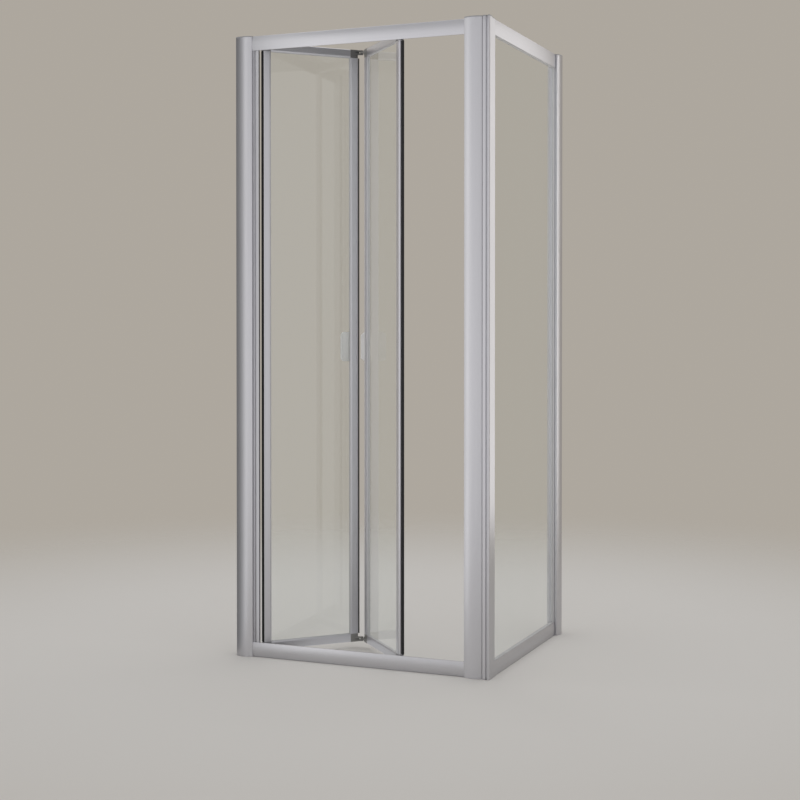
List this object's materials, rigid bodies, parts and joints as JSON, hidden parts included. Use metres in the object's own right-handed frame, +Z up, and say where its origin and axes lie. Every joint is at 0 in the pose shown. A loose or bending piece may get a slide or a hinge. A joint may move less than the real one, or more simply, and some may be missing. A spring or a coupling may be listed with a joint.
{
  "type": "bifold shower door",
  "caption": "Framed bifold shower door with a fixed glass side panel; hinged glass leaves fold inwards, guided by tracks in the head rail and the sill.",
  "frame": {"origin": "on the floor, under the middle of the part's box", "axes": "+Z up, -Y towards the person in front of the door, the pivot side's wall at -X, the rear wall at +Y"},
  "size_m": [0.814, 0.695, 1.854],
  "materials": {
    "satin_aluminium": "satin anodised",
    "clear_glass": "clear toughened",
    "black_rubber": "matt extruded",
    "grey_moulding": "fine moulded",
    "white_nylon": "natural nylon",
    "steel": "turned stainless",
    "frosted_handle": "pale translucent moulding"
  },
  "bodies": {
    "frame": {"bottom_pivot_block": "white_nylon", "corner_post": "satin_aluminium", "corner_post_cap": "grey_moulding", "head_rail": "satin_aluminium", "left_channel_cap": "grey_moulding", "left_jamb": "satin_aluminium", "left_wall_channel": "satin_aluminium", "side_bottom_rail": "satin_aluminium", "side_channel_cap": "grey_moulding", "side_front_stile": "satin_aluminium", "side_gaskets": "black_rubber", "side_glass": "clear_glass", "side_rear_stile": "satin_aluminium", "side_top_rail": "satin_aluminium", "side_wall_channel": "satin_aluminium", "sill": "satin_aluminium", "strike_channel": "satin_aluminium", "strike_channel_cap": "grey_moulding", "strike_jamb": "satin_aluminium", "strike_magnet": "black_rubber", "top_pivot_block": "white_nylon", "track_stops": "black_rubber"},
    "pivot_leaf": {"pivot_stile": "satin_aluminium", "pivot_fold_stile": "satin_aluminium", "pivot_top_rail": "satin_aluminium", "pivot_bottom_rail": "satin_aluminium", "pivot_top_corner": "grey_moulding", "pivot_bottom_corner": "grey_moulding", "pivot_top_hinge": "grey_moulding", "pivot_bottom_hinge": "grey_moulding", "pivot_glass": "clear_glass", "pivot_gaskets": "black_rubber", "top_pivot_pin": "steel", "bottom_pivot_pin": "steel", "pivot_edge_seal": "black_rubber", "fold_seal": "black_rubber", "inner_handle": "frosted_handle"},
    "lead_leaf": {"lead_stile": "satin_aluminium", "lead_fold_stile": "satin_aluminium", "lead_top_rail": "satin_aluminium", "lead_bottom_rail": "satin_aluminium", "lead_top_corner": "grey_moulding", "lead_bottom_corner": "grey_moulding", "lead_top_hinge": "grey_moulding", "lead_bottom_hinge": "grey_moulding", "lead_glass": "clear_glass", "lead_gaskets": "black_rubber", "lead_seal": "black_rubber", "lead_fold_seal": "black_rubber", "fold_hinge_pins": "steel", "top_guide_pin": "steel", "bottom_guide_pin": "steel", "outer_handle": "frosted_handle"},
    "guide_roller": {"top_guide_roller": "white_nylon"},
    "guide_shoe": {"bottom_guide_shoe": "white_nylon"}
  },
  "joints": [
    {"name": "pivot_swing", "type": "hinge", "parent": "frame", "child": "pivot_leaf", "pos_m": [-0.32, -0.3175, 0], "axis": [0, 0, 1], "range_deg": [-47.1, 33.9]},
    {"name": "lead_fold", "type": "hinge", "parent": "pivot_leaf", "child": "lead_leaf", "pos_m": [-0.10308, -0.10169, 0], "axis": [0, 0, 1], "range_deg": [-67.8, 94.2]},
    {"name": "shoe_turn", "type": "hinge", "parent": "lead_leaf", "child": "guide_shoe", "pos_m": [0.11384, -0.3175, 0], "axis": [0, 0, 1], "range_deg": [-47.1, 33.9]},
    {"name": "roller_spin", "type": "hinge", "parent": "lead_leaf", "child": "guide_roller", "pos_m": [0.11384, -0.3175, 1.841], "axis": [0, 0, 1], "continuous": true}
  ],
  "couplings": [
    {"joint": "lead_fold", "follows": "pivot_swing", "ratio": -2},
    {"joint": "shoe_turn", "follows": "pivot_swing", "ratio": 1}
  ]
}
